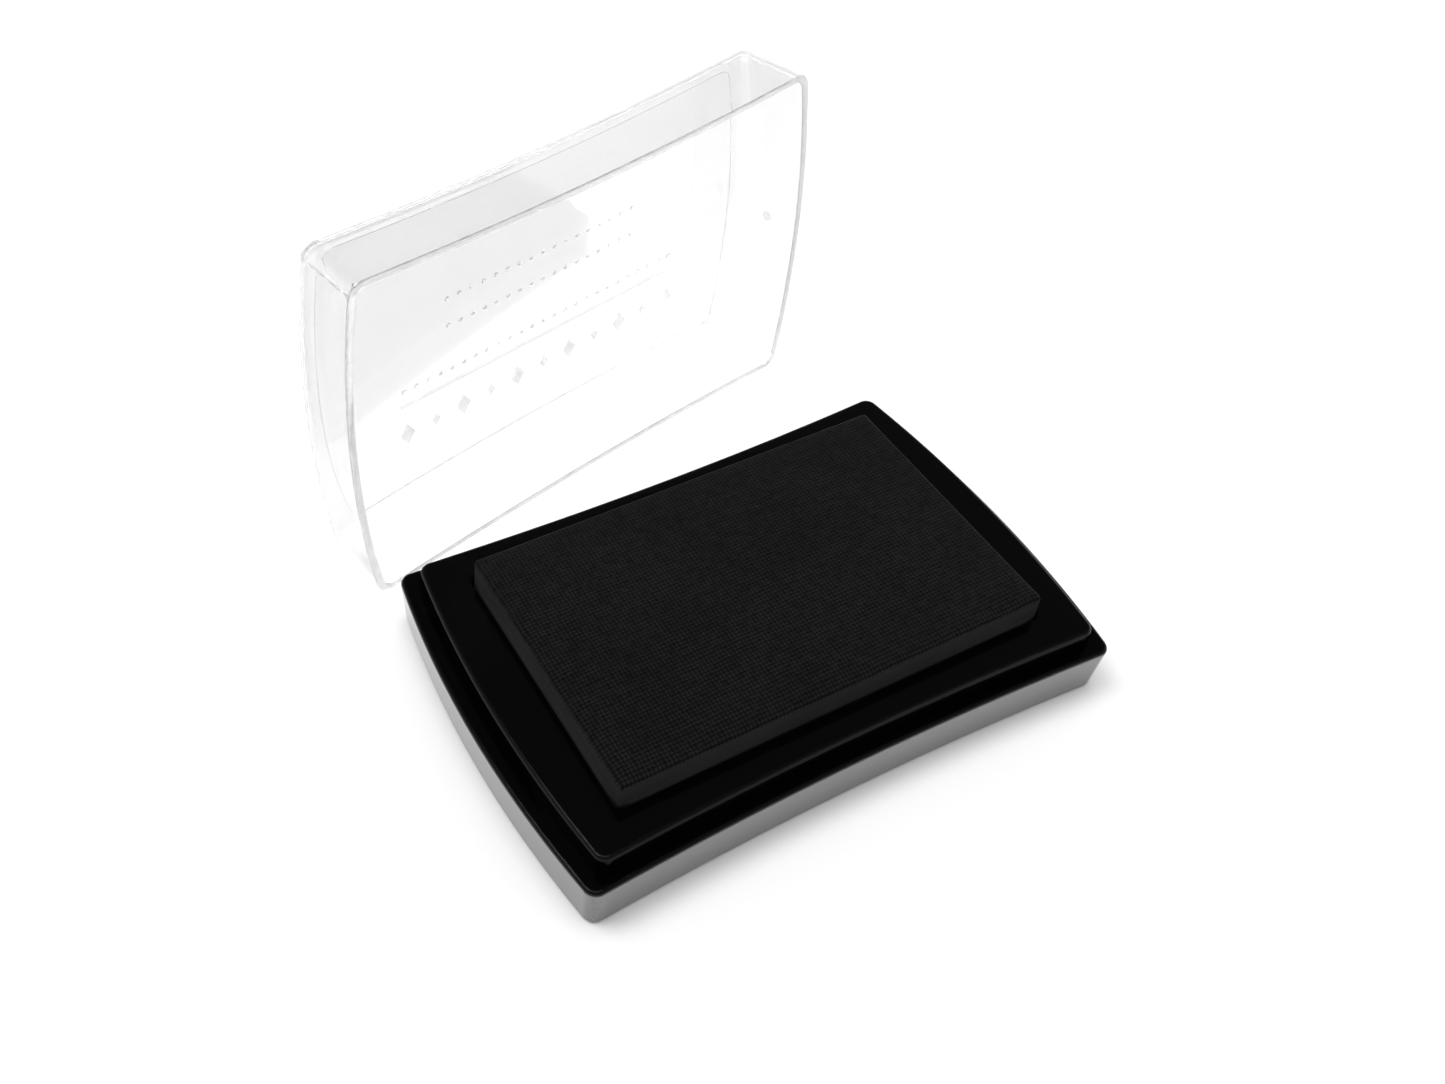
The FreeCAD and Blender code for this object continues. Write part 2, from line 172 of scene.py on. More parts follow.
class InkPadSettings(PropertyGroup):
    """Sizes and colours of the pad, its case and its lid."""

    thread: FloatProperty(
        name="Thread spacing", description="Middle to middle of the threads in the pad's cover",
        default=0.68 * MM, min=0.2 * MM, max=2 * MM, precision=5, unit="LENGTH")
    swell: FloatProperty(
        name="Swell", description="How far the foam may push the cover out above the deck",
        default=0.2 * MM, min=0.0, max=1 * MM, precision=5, unit="LENGTH")
    hem: FloatProperty(
        name="Hem", description="Cloth turned in under the backing board",
        default=8 * MM, min=2 * MM, max=20 * MM, precision=4, unit="LENGTH")
    cloth_thick: FloatProperty(
        name="Cloth", description="Thickness of the woven cover",
        default=0.5 * MM, min=0.1 * MM, max=1 * MM, precision=5, unit="LENGTH")
    gloss: FloatProperty(
        name="Case roughness", description="Roughness of the black moulding",
        default=0.07, min=0.0, max=1.0, subtype="FACTOR")
    ink: FloatVectorProperty(
        name="Ink", description="Colour of the inked cloth", subtype="COLOR", size=4,
        default=linear("#0D0D0D"), min=0.0, max=1.0)
    case: FloatVectorProperty(
        name="Case", description="Colour of the black moulding", subtype="COLOR", size=4,
        default=linear("#020203"), min=0.0, max=1.0)
    clear: FloatVectorProperty(
        name="Lid tint", description="Tint of the clear moulding", subtype="COLOR", size=4,
        default=linear("#FFFFFF"), min=0.0, max=1.0)
    ornaments: IntProperty(
        name="Ornaments", description="Raised lozenges in the row on the lid's panel",
        default=11, min=3, max=31)


# ---- materials ---------------------------------------------------------------------------------

def black_polystyrene(settings):
    """Polystyrene coloured with carbon black and moulded against a polished tool: faces that
    look up are near-black. The skirt looks grey, from a coat that mirrors the white table and
    from white mixed into its colour, a painted reflection of that table."""
    material, tree, shader = start_material("Black polystyrene, moulded against a polished tool", {
        "Base Color": settings.case,
        "Roughness": settings.gloss,
        "IOR": 1.59,
        "Specular IOR Level": 0.02,
        "Coat Roughness": 0.2,
        "Coat IOR": 1.6,
    })
    place = add_node(tree, "ShaderNodeTexCoord")
    # Slow sink and flow marks, about 15 mm across, and the faint tooth of the tool's polish.
    sink = add_node(tree, "ShaderNodeTexNoise", {
        "Vector": place.outputs["Object"], "Scale": 65.0, "Detail": 2.0, "Roughness": 0.4})
    tooth = add_node(tree, "ShaderNodeTexNoise", {
        "Vector": place.outputs["Object"], "Scale": 2600.0, "Detail": 2.0})
    rub = add_node(tree, "ShaderNodeMapRange", {
        "Value": sink.outputs["Fac"], "From Min": 0.35, "From Max": 0.7,
        "To Min": settings.gloss * 0.8, "To Max": settings.gloss * 1.5})
    tree.links.new(rub.outputs["Result"], shader.inputs["Roughness"])
    soft = add_node(tree, "ShaderNodeBump", {
        "Height": sink.outputs["Fac"], "Distance": 0.00008, "Strength": 0.25})
    fine = add_node(tree, "ShaderNodeBump", {
        "Height": tooth.outputs["Fac"], "Distance": 0.000004, "Strength": 0.35,
        "Normal": soft.outputs["Normal"]})
    tree.links.new(fine.outputs["Normal"], shader.inputs["Normal"])
    # The coat is full on the skirt and nearly gone on the ledge, the platform and the deck, with
    # a little left on the platform's rounded edge.
    spot = add_node(tree, "ShaderNodeSeparateXYZ", {"Vector": place.outputs["Object"]})
    facing = add_node(tree, "ShaderNodeNewGeometry")
    slope = add_node(tree, "ShaderNodeSeparateXYZ", {"Vector": facing.outputs["True Normal"]})
    tilt = add_node(tree, "ShaderNodeMath", {0: slope.outputs["Z"]}, operation="ABSOLUTE")
    steep = add_node(tree, "ShaderNodeMapRange", {
        "Value": tilt.outputs[0], "From Min": 0.15, "From Max": 0.6,
        "To Min": 1.0, "To Max": 0.12})
    flat = add_node(tree, "ShaderNodeMapRange", {
        "Value": tilt.outputs[0], "From Min": 0.95, "From Max": 0.99,
        "To Min": 1.0, "To Max": 0.2})
    below = add_node(tree, "ShaderNodeMapRange", {
        "Value": spot.outputs["Z"], "From Min": LEDGE - 0.1 * MM, "From Max": LEDGE,
        "To Min": 1.0, "To Max": 0.02})
    edge = add_node(tree, "ShaderNodeMapRange", {
        "Value": spot.outputs["Z"], "From Min": DECK - 0.75 * MM, "From Max": DECK - 0.5 * MM,
        "To Min": 0.0, "To Max": 0.15})
    zone = add_node(tree, "ShaderNodeMath", {
        0: below.outputs["Result"], 1: edge.outputs["Result"]}, operation="ADD")
    least = add_node(tree, "ShaderNodeMath", {0: steep.outputs["Result"], 1: zone.outputs[0]},
                     operation="MINIMUM")
    polish = add_node(tree, "ShaderNodeMath", {0: least.outputs[0], 1: flat.outputs["Result"]},
                      operation="MULTIPLY")
    tree.links.new(polish.outputs[0], shader.inputs["Coat Weight"])
    # The skirt's colour has a little white mixed in, uneven with the fine tooth: a painted
    # reflection of the white table.
    reflection_grain = add_node(tree, "ShaderNodeMapRange", {
        "Value": tooth.outputs["Fac"], "From Min": 0.3, "From Max": 0.7,
        "To Min": 0.055, "To Max": 0.095})
    skirt = add_node(tree, "ShaderNodeMapRange", {
        "Value": least.outputs[0], "From Min": 0.4, "From Max": 1.0})
    painted_reflection = add_node(tree, "ShaderNodeMath", {
        0: skirt.outputs["Result"], 1: reflection_grain.outputs["Result"]}, operation="MULTIPLY")
    tint = add_node(tree, "ShaderNodeMix", {
        "Factor": painted_reflection.outputs[0], "A": settings.case, "B": linear("#FFFFFF")},
        data_type="RGBA")
    tree.links.new(tint.outputs["Result"], shader.inputs["Base Color"])
    return material


def woven_cover(settings):
    """Polyester cloth in a fine plain weave, soaked with pigment ink: a dull black with a crown
    on each thread crossing, painted paler than the grooves, and with the sides painted paler, as
    painted light and shade."""
    material, tree, shader = start_material("Polyester cover, plain woven and inked", {
        "Base Color": settings.ink,
        "Roughness": 0.7,
        "IOR": 1.5,
        "Specular IOR Level": 0.03,
        "Sheen Weight": 0.004,
        "Sheen Roughness": 0.5,
    })
    weave = add_node(tree, "ShaderNodeUVMap", uv_map="weave")
    # One unit of the counted pattern is one thread.
    count = add_node(tree, "ShaderNodeMapping", {
        "Vector": weave.outputs["UV"],
        "Scale": (1 / settings.thread, 1 / settings.thread, 1.0)})
    wander = add_node(tree, "ShaderNodeTexNoise", {
        "Vector": count.outputs["Vector"], "Scale": 0.12, "Detail": 3.0})
    drift = add_node(tree, "ShaderNodeVectorMath", {
        0: wander.outputs["Color"], 1: (0.9, 0.9, 0.0)}, operation="MULTIPLY")
    placed = add_node(tree, "ShaderNodeVectorMath", {
        0: count.outputs["Vector"], 1: drift.outputs["Vector"]}, operation="ADD")
    thread = add_node(tree, "ShaderNodeSeparateXYZ", {"Vector": placed.outputs["Vector"]})
    waves = []
    for way in ("X", "Y"):
        turn = add_node(tree, "ShaderNodeMath", {0: thread.outputs[way], 1: math.pi},
                        operation="MULTIPLY")
        waves.append(add_node(tree, "ShaderNodeMath", {0: turn.outputs[0]}, operation="COSINE"))
    crossing = add_node(tree, "ShaderNodeMath", {0: waves[0].outputs[0], 1: waves[1].outputs[0]},
                        operation="MULTIPLY")
    crown = add_node(tree, "ShaderNodeMath", {0: crossing.outputs[0]}, operation="ABSOLUTE")
    height = add_node(tree, "ShaderNodeMath", {0: crown.outputs[0], 1: 0.6}, operation="POWER")
    # Each thread's thickness varies along its run, which gives the faint ribs of a real weave.
    slub_place = add_node(tree, "ShaderNodeMapping", {
        "Vector": count.outputs["Vector"], "Scale": (0.08, 1.0, 1.0)})
    slub = add_node(tree, "ShaderNodeTexNoise", {
        "Vector": slub_place.outputs["Vector"], "Scale": 1.0, "Detail": 2.0})
    pool = add_node(tree, "ShaderNodeTexNoise", {
        "Vector": count.outputs["Vector"], "Scale": 0.035, "Detail": 3.0})
    relief = add_node(tree, "ShaderNodeMath", {
        0: slub.outputs["Fac"], 1: 0.35, 2: height.outputs[0]}, operation="MULTIPLY_ADD")
    # The sides' mask: it fades the weave there and drives the painted light on the sides.
    side_mask = add_node(tree, "ShaderNodeAttribute", attribute_name="side_mask")
    wet = add_node(tree, "ShaderNodeMapRange", {
        "Value": side_mask.outputs["Fac"], "To Min": 0.55, "To Max": 0.1})
    bump = add_node(tree, "ShaderNodeBump", {
        "Height": relief.outputs[0], "Distance": 0.0002, "Strength": wet.outputs["Result"]})
    tree.links.new(bump.outputs["Normal"], shader.inputs["Normal"])
    # The crowns are painted paler than the grooves, a painted light and shade of the weave's
    # relief. The sides show little of the weave.
    painted_weave_shade = add_node(tree, "ShaderNodeMapRange", {
        "Value": relief.outputs[0], "From Min": 0.2, "From Max": 1.1, "To Min": 0.0, "To Max": 2.5})
    painted_weave_shade = add_node(tree, "ShaderNodeMix", {
        0: side_mask.outputs["Fac"], 2: painted_weave_shade.outputs["Result"], 3: 1.0}, data_type="FLOAT")
    patch = add_node(tree, "ShaderNodeMapRange", {
        "Value": pool.outputs["Fac"], "From Min": 0.3, "From Max": 0.7, "To Min": 0.85,
        "To Max": 1.15})
    # Painted light: the sides are painted up to 4.2 times paler than the top, as if more light fell
    # on them.
    side = add_node(tree, "ShaderNodeMapRange", {
        "Value": side_mask.outputs["Fac"], "To Min": 1.0, "To Max": 4.2})
    # Each crossing has its own shade of the ink.
    cell = add_node(tree, "ShaderNodeVectorMath", {0: placed.outputs["Vector"]}, operation="FLOOR")
    chance = add_node(tree, "ShaderNodeTexWhiteNoise", {"Vector": cell.outputs["Vector"]})
    uneven = add_node(tree, "ShaderNodeMapRange", {
        "Value": chance.outputs["Value"], "To Min": 0.72, "To Max": 1.28})
    uneven = add_node(tree, "ShaderNodeMix", {
        0: side_mask.outputs["Fac"], 2: uneven.outputs["Result"], 3: 1.0}, data_type="FLOAT")
    shade = add_node(tree, "ShaderNodeMath", {
        0: painted_weave_shade.outputs[0], 1: patch.outputs["Result"]}, operation="MULTIPLY")
    shade = add_node(tree, "ShaderNodeMath", {
        0: shade.outputs[0], 1: uneven.outputs[0]}, operation="MULTIPLY")
    shade = add_node(tree, "ShaderNodeMath", {
        0: shade.outputs[0], 1: side.outputs["Result"]}, operation="MULTIPLY")
    tint = add_node(tree, "ShaderNodeVectorMath", {
        0: settings.ink[:3], "Scale": shade.outputs[0]}, operation="SCALE")
    tree.links.new(tint.outputs["Vector"], shader.inputs["Base Color"])
    return material


def ink_foam():
    """Polyether foam, cast and cut, charged with ink: dull and dark with open cells."""
    material, tree, shader = start_material("Polyether foam, cut and inked", {
        "Base Color": linear("#1A1A1C"), "Roughness": 0.9, "IOR": 1.45})
    place = add_node(tree, "ShaderNodeTexCoord")
    cells = add_node(tree, "ShaderNodeTexVoronoi", {
        "Vector": place.outputs["Object"], "Scale": 2200.0})
    rim = add_node(tree, "ShaderNodeMapRange", {
        "Value": cells.outputs["Distance"], "From Min": 0.1, "From Max": 0.7})
    tint = add_node(tree, "ShaderNodeMix", {
        "Factor": rim.outputs["Result"], "A": linear("#0C0C0D"), "B": linear("#232325")},
        data_type="RGBA")
    tree.links.new(tint.outputs["Result"], shader.inputs["Base Color"])
    bump = add_node(tree, "ShaderNodeBump", {
        "Height": rim.outputs["Result"], "Distance": 0.0002, "Strength": 0.7})
    tree.links.new(bump.outputs["Normal"], shader.inputs["Normal"])
    return material


def clear_polystyrene(settings):
    """General-purpose polystyrene, injection moulded: clear as glass, with bright and grey lines
    where its edges bend the view."""
    material, tree, shader = start_material("Clear polystyrene, injection moulded", {
        "Base Color": settings.clear,
        "Roughness": 0.02,
        "IOR": 1.59,
        "Transmission Weight": 1.0,
        "Alpha": 0.8,
    })
    place = add_node(tree, "ShaderNodeTexCoord")
    # Slow ripples, about 8 mm apart, that make the view through it swim.
    flow = add_node(tree, "ShaderNodeTexNoise", {
        "Vector": place.outputs["Object"], "Scale": 120.0, "Detail": 1.0, "Roughness": 0.3})
    bump = add_node(tree, "ShaderNodeBump", {
        "Height": flow.outputs["Fac"], "Distance": 0.00002, "Strength": 0.08})
    tree.links.new(bump.outputs["Normal"], shader.inputs["Normal"])
    # Lamp light passes straight through the thin walls, so the lid casts hardly any shadow.
    path = add_node(tree, "ShaderNodeLightPath")
    straight = add_node(tree, "ShaderNodeBsdfTransparent", {"Color": (0.97, 0.97, 0.97, 1.0)})
    either = add_node(tree, "ShaderNodeMixShader", {
        0: path.outputs["Is Shadow Ray"], 1: shader.outputs["BSDF"],
        2: straight.outputs["BSDF"]})
    end = next(node for node in tree.nodes if node.type == "OUTPUT_MATERIAL")
    tree.links.new(either.outputs["Shader"], end.inputs["Surface"])
    return material


def grey_board():
    """Greyboard, pressed from waste paper: a flat warm grey with pale and dark fibres."""
    material, tree, shader = start_material("Greyboard, pressed from paper pulp", {
        "Base Color": linear("#9C988F"), "Roughness": 0.92, "IOR": 1.45})
    place = add_node(tree, "ShaderNodeTexCoord")
    long_way = add_node(tree, "ShaderNodeMapping", {
        "Vector": place.outputs["Object"], "Scale": (0.3, 1.0, 1.0)})
    fibres = add_node(tree, "ShaderNodeTexNoise", {
        "Vector": long_way.outputs["Vector"], "Scale": 1800.0, "Detail": 4.0, "Roughness": 0.7})
    tint = add_node(tree, "ShaderNodeMix", {
        "Factor": fibres.outputs["Fac"], "A": linear("#7E7A72"), "B": linear("#B9B5AB")},
        data_type="RGBA")
    tree.links.new(tint.outputs["Result"], shader.inputs["Base Color"])
    bump = add_node(tree, "ShaderNodeBump", {
        "Height": fibres.outputs["Fac"], "Distance": 0.00005, "Strength": 0.5})
    tree.links.new(bump.outputs["Normal"], shader.inputs["Normal"])
    return material


def foam_tape():
    """Double-sided polyethylene foam tape, cast: soft white with closed cells."""
    material, tree, shader = start_material("Polyethylene foam tape, cast", {
        "Base Color": linear("#E6E5E0"), "Roughness": 0.85, "IOR": 1.5,
        "Subsurface Weight": 0.1, "Subsurface Radius": (0.001, 0.001, 0.001),
        "Subsurface Scale": 0.5})
    place = add_node(tree, "ShaderNodeTexCoord")
    cells = add_node(tree, "ShaderNodeTexVoronoi", {
        "Vector": place.outputs["Object"], "Scale": 3000.0})
    tint = add_node(tree, "ShaderNodeMix", {
        "Factor": cells.outputs["Distance"], "A": linear("#EFEEEA"), "B": linear("#D2D1CB")},
        data_type="RGBA")
    tree.links.new(tint.outputs["Result"], shader.inputs["Base Color"])
    bump = add_node(tree, "ShaderNodeBump", {
        "Height": cells.outputs["Distance"], "Distance": 0.0001, "Strength": 0.6})
    tree.links.new(bump.outputs["Normal"], shader.inputs["Normal"])
    return material


def label_paper():
    """Coated label paper, calendered: smooth off-white with a faint fibre cloud."""
    material, tree, shader = start_material("Label paper, coated and calendered", {
        "Base Color": linear("#F1F0EC"), "Roughness": 0.5, "IOR": 1.5})
    place = add_node(tree, "ShaderNodeTexCoord")
    cloud = add_node(tree, "ShaderNodeTexNoise", {
        "Vector": place.outputs["Object"], "Scale": 700.0, "Detail": 3.0})
    tint = add_node(tree, "ShaderNodeMix", {
        "Factor": cloud.outputs["Fac"], "A": linear("#EAE9E4"), "B": linear("#F6F5F2")},
        data_type="RGBA")
    tree.links.new(tint.outputs["Result"], shader.inputs["Base Color"])
    bump = add_node(tree, "ShaderNodeBump", {
        "Height": cloud.outputs["Fac"], "Distance": 0.00001, "Strength": 0.3})
    tree.links.new(bump.outputs["Normal"], shader.inputs["Normal"])
    return material


def white_floor():
    """Matt white card, the floor of the studio."""
    return start_material("White card, matt", {
        "Base Color": linear("#F4F4F4"), "Roughness": 0.95, "Specular IOR Level": 0.0})[0]


# ---- pieces ------------------------------------------------------------------------------------

class INKPAD_OT_case(Operator):
    """Finish the black base shell and the plate that closes it"""

    bl_idname = "inkpad.case"
    bl_label = "Case"

    def execute(self, context):
        moulding = black_polystyrene(context.scene.ink_pad)
        for node in ("base_shell", "bottom_plate"):
            finish_cad_node(node, moulding)
        return {"FINISHED"}


class INKPAD_OT_label(Operator):
    """Finish the blank paper label under the case"""

    bl_idname = "inkpad.label"
    bl_label = "Label"

    def execute(self, context):
        finish_cad_node("underside_label", label_paper())
        return {"FINISHED"}


def evaluated_copy(piece, name):
    """The piece's mesh with its modifiers applied."""
    graph = bpy.context.evaluated_depsgraph_get()
    mesh = bpy.data.meshes.new_from_object(piece.evaluated_get(graph))
    mesh.name = name
    return mesh


def blow_up(mesh, held_below, cap):
    """Lets air pressure fill a closed mesh and returns where its points come to rest.

    The solver's constants suit furniture, so the mesh is ten times its real size here."""
    scene = bpy.context.scene
    cushion = bpy.data.objects.new("cushion", mesh)
    scene.collection.objects.link(cushion)
    start = [v.co.copy() for v in mesh.vertices]
    held = cushion.vertex_groups.new(name="held")
    held.add([v.index for v in mesh.vertices if v.co.z < held_below], 1.0, "REPLACE")
    cloth = cushion.modifiers.new("cloth", "CLOTH")
    cloth.settings.vertex_group_mass = "held"
    cloth.settings.use_pressure = True
    cloth.settings.uniform_pressure_force = 4.0
    cloth.settings.effector_weights.gravity = 0.0
    cloth.point_cache.frame_start, cloth.point_cache.frame_end = 1, 20
    for step in range(1, 21):
        scene.frame_set(step)
    filled = evaluated_copy(cushion, "filled")
    for vertex, old in zip(filled.vertices, start):
        moved = vertex.co - old
        if moved.length > cap:
            vertex.co = old + moved.normalized() * cap
    bpy.data.objects.remove(cushion)
    scene.frame_set(1)
    return filled


class INKPAD_OT_pad(Operator):
    """Make the cloth-covered pad: the filled cover with its turned-in hem, and the foam"""

    bl_idname = "inkpad.pad"
    bl_label = "Pad"

    def execute(self, context):
        settings = context.scene.ink_pad
        low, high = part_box("cloth_cover")
        swell = settings.swell
        grown = 10.0
        corner, edge = 0.6 * MM, 0.2 * MM
        voxel = 0.5 * MM
        # The cover starts smaller by the swell, and fills out to its CAD size.
        bm = block(low + Vector((swell, swell, 0)), high - Vector((swell, swell, swell)))
        round_edges(bm, [e for e in bm.edges if runs_upright(e)], corner, 4)
        top = [e for e in bm.edges if all(v.co.z > high.z - 2 * swell for v in e.verts)]
        round_edges(bm, top, edge, 2)
        bm.transform(Matrix.Scale(grown, 4))
        blank = bpy.data.meshes.new("blank")
        bm.to_mesh(blank)
        bm.free()
        former = bpy.data.objects.new("former", blank)
        context.scene.collection.objects.link(former)
        remesh = former.modifiers.new("remesh", "REMESH")
        remesh.mode = "VOXEL"
        remesh.voxel_size = voxel * grown
        mesh = evaluated_copy(former, "cover")
        bpy.data.objects.remove(former)
        mesh = blow_up(mesh, (DECK - 1 * MM) * grown, swell * grown)

        bm = bmesh.new()
        bm.from_mesh(mesh)
        bm.transform(Matrix.Scale(1 / grown, 4))
        self.open_hem(bm, low, high, settings.hem)
        bmesh.ops.smooth_vert(bm, verts=[v for v in bm.verts if v.co.z > low.z + 0.3 * MM],
                              factor=0.25, use_axis_x=True, use_axis_y=True, use_axis_z=True)
        cover = new_piece("pad_cloth", bm, "case", woven_cover(settings), 180)
        wall = cover.modifiers.new("wall", "SOLIDIFY")
        wall.thickness, wall.offset = settings.cloth_thick, -1.0
        final = evaluated_copy(cover, "pad_cloth")
        cover.modifiers.clear()
        cover.data = final
        self.lay_weave(final, low, high)
        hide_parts("cloth_cover")
        self.make_foam(settings)
        return {"FINISHED"}

    @staticmethod
    def open_hem(bm, low, high, hem):
        """Cuts the underside so that only the turned-in hem is left."""
        inner_low, inner_high = low + Vector((hem, hem, 0)), high - Vector((hem, hem, 0))
        underside = low.z + 0.6 * MM
        for corner, way in ((inner_low, (1, 0, 0)), (inner_high, (1, 0, 0)),
                            (inner_low, (0, 1, 0)), (inner_high, (0, 1, 0))):
            under = [f for f in bm.faces if f.calc_center_median().z < underside]
            touched = {e for f in under for e in f.edges} | {v for f in under for v in f.verts}
            bmesh.ops.bisect_plane(bm, geom=under + list(touched), plane_co=corner,
                                   plane_no=way, dist=1e-6)
        middle = [f for f in bm.faces
                  if f.calc_center_median().z < underside
                  and inner_low.x < f.calc_center_median().x < inner_high.x
                  and inner_low.y < f.calc_center_median().y < inner_high.y]
        bmesh.ops.delete(bm, geom=middle, context="FACES")

    @staticmethod
    def lay_weave(mesh, low, high):
        """Lays the threads flat over the top and on down the sides, in metres, and marks the sides,
        from just below the top edge, where the weave fades and the cloth is painted paler as
        painted light."""
        weave = mesh.uv_layers.new(name="weave")
        side_mask = mesh.attributes.new("side_mask", "FLOAT", "POINT")
        begins, fades = 0.6 * MM, 0.7 * MM
        for vertex in mesh.vertices:
            drop = high.z - begins - vertex.co.z
            side_mask.data[vertex.index].value = min(1.0, max(0.0, drop / fades))
        for polygon in mesh.polygons:
            normal = polygon.normal
            for corner in polygon.loop_indices:
                p = mesh.vertices[mesh.loops[corner].vertex_index].co
                u, v = p.x, p.y
                if abs(normal.z) < 0.7:
                    drop = high.z - p.z
                    if abs(normal.x) > abs(normal.y):
                        u += math.copysign(drop, p.x)
                    else:
                        v += math.copysign(drop, p.y)
                weave.data[corner].uv = (u, v)

    @staticmethod
    def make_foam(settings):
        """The foam block, with rounded edges and a slight crown, inside the cover."""
        low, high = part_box("foam_core")
        room = Vector((0.15, 0.15, 0.1)) * MM
        bm = block(low + room, high - room)
        round_edges(bm, list(bm.edges), 0.8 * MM, 3)
        bmesh.ops.subdivide_edges(bm, edges=[e for e in bm.edges if e.calc_length() > 5 * MM],
                                  cuts=11, use_grid_fill=True)
        middle = (low + high) / 2
        for vertex in bm.verts:
            if vertex.co.z > middle.z:
                away = max(abs((vertex.co.x - middle.x) / (high.x - middle.x)),
                           abs((vertex.co.y - middle.y) / (high.y - middle.y)))
                vertex.co.z -= 0.15 * MM * away ** 4
        foam = new_piece("pad_foam", bm, "case", ink_foam())
        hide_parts("foam_core")
        finish_cad_node("backing_board", grey_board())
        finish_cad_node("foam_tape", foam_tape())


class INKPAD_OT_lid(Operator):
    """Finish the clear lid and add its moulded ornament and gate mark"""

    bl_idname = "inkpad.lid"
    bl_label = "Lid"

    def execute(self, context):
        settings = context.scene.ink_pad
        clear = clear_polystyrene(settings)
        self.tray(clear)
        self.rule(clear)
        self.lozenges(clear, settings.ornaments)
        self.beads(clear)
        self.gate(clear)
        return {"FINISHED"}

    @staticmethod
    def tray(clear):
        """The lid's own shape, with the rim's and the border's sharp edges rounded a little, as
        a mould's are."""
        border_radius, rim_radius = 0.12 * MM, 0.35 * MM
        bm = bmesh.new()
        bm.from_mesh(frame["nodes"]["lid"].data)
        bmesh.ops.remove_doubles(bm, verts=bm.verts, dist=1e-6)
        to_lid = lid_axes().inverted()
        sharp = [e for e in bm.edges if e.calc_face_angle(0.0) > 0.9]
        rim = [e for e in sharp if all((to_lid @ v.co).z < 0.01 * MM for v in e.verts)]
        border = [e for e in sharp if all((to_lid @ v.co).z > LID_DEEP - 2 * PANEL_SUNK
                                          for v in e.verts)]
        round_edges(bm, border, border_radius, 2)
        rim = [e for e in rim if e.is_valid]
        round_edges(bm, rim, rim_radius, 3)
        tray = new_piece("lid_tray", bm, "lid", clear, 50)
        # Flat faces stay flat beside the small rounded ones.
        level = tray.modifiers.new("level", "WEIGHTED_NORMAL")
        level.mode, level.weight, level.keep_sharp = "FACE_AREA", 50, True
        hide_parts("lid")

    @staticmethod
    def on_panel(bm, x, y):
        """Moves a shape drawn flat at the origin to a place on the sunk middle of the panel. The
        long way down the panel is +y, as the lid stands."""
        face = LID_DEEP - PANEL_SUNK + 0.01 * MM
        bm.transform(lid_axes() @ Matrix.Translation((x, y, face)))

    @staticmethod
    def bar(length, width, rise):
        """A raised bar with rounded upper edges, on z = 0."""
        bm = block(Vector((-length / 2, -width / 2, 0)), Vector((length / 2, width / 2, rise)))
        round_edges(bm, [e for e in bm.edges if max(v.co.z for v in e.verts) > rise / 2],
                    rise * 0.4, 3)
        return bm

    def rule(self, clear):
        """The thin raised rule across the panel."""
        bm = self.bar(64 * MM, 0.4 * MM, 0.3 * MM)
        self.on_panel(bm, 0, RULE_ROW)
        new_piece("lid_rule", bm, "lid", clear)

    def lozenges(self, clear, count):
        """A row of raised four-sided lozenges, each with a sunk middle."""
        bm = bmesh.new()
        for n in range(count):
            large = n % 2 == 0
            made = bmesh.ops.create_circle(bm, cap_ends=True, segments=4, radius=1.0)
            verts = made["verts"]
            bmesh.ops.scale(bm, vec=Vector((1.5, 2.3, 1)) * (MM if large else 0.55 * MM),
                            verts=verts)
            bmesh.ops.translate(bm, verts=verts,
                                vec=((n / (count - 1) - 0.5) * ROW_SPAN, 0, 0))
        raised = bmesh.ops.extrude_face_region(bm, geom=bm.faces[:])["geom"]
        tops = [item for item in raised if isinstance(item, bmesh.types.BMFace)]
        bmesh.ops.translate(bm, vec=(0, 0, 0.22 * MM),
                            verts=[v for v in raised if isinstance(v, bmesh.types.BMVert)])
        bmesh.ops.inset_individual(bm, faces=tops, thickness=0.35 * MM, depth=0)
        bmesh.ops.inset_individual(bm, faces=tops, thickness=0.05 * MM, depth=-0.12 * MM)
        self.on_panel(bm, 0, LOZENGE_ROW)
        new_piece("lid_lozenges", bm, "lid", clear, 20)

    def beads(self, clear):
        """Three rows of small domed beads above the rule."""
        radius, flatness = 0.5 * MM, 0.3
        bm = bmesh.new()
        for y, count, span in BEAD_ROWS:
            for n in range(count):
                made = bmesh.ops.create_uvsphere(bm, u_segments=12, v_segments=6, radius=radius)
                verts = made["verts"]
                bmesh.ops.scale(bm, vec=(1, 1, flatness), verts=verts)
                bmesh.ops.translate(bm, verts=verts, vec=(
                    (n / (count - 1) - 0.5) * span, y, radius * flatness))
        self.on_panel(bm, 0, 0)
        new_piece("lid_beads", bm, "lid", clear)

    @staticmethod
    def gate(clear):
        """The round scar of the gate, near the middle of the wall at the lid's right end."""
        bm = bmesh.new()
        bmesh.ops.create_circle(bm, cap_ends=True, segments=28, radius=1.0 * MM)
        raised = bmesh.ops.extrude_face_region(bm, geom=bm.faces[:])["geom"]
        bmesh.ops.translate(bm, vec=(0, 0, 0.14 * MM),
                            verts=[v for v in raised if isinstance(v, bmesh.types.BMVert)])
        top = [item for item in raised if isinstance(item, bmesh.types.BMFace)]
        bmesh.ops.inset_region(bm, faces=top, thickness=0.3 * MM, depth=0)
        bmesh.ops.inset_region(bm, faces=top, thickness=0.08 * MM, depth=-0.1 * MM)
        # The rim's end reaches about 0.05 mm past the shell's box, and draft leans the wall in
        # from there. The mark stands 0.01 mm off the wall.
        aside, deep = 1.9 * MM, 7.6 * MM
        rim_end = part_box("base_shell")[1].x + 0.05 * MM
        out = rim_end - deep * math.tan(LID_DRAFT) + 0.01 * MM
        place = (Matrix.Translation((out, aside, deep))
                 @ Matrix.Rotation(math.pi / 2 - LID_DRAFT, 4, "Y"))
        bm.transform(lid_axes() @ place)
        new_piece("lid_gate_mark", bm, "lid", clear)


# ---- studio ------------------------------------------------------------------------------------

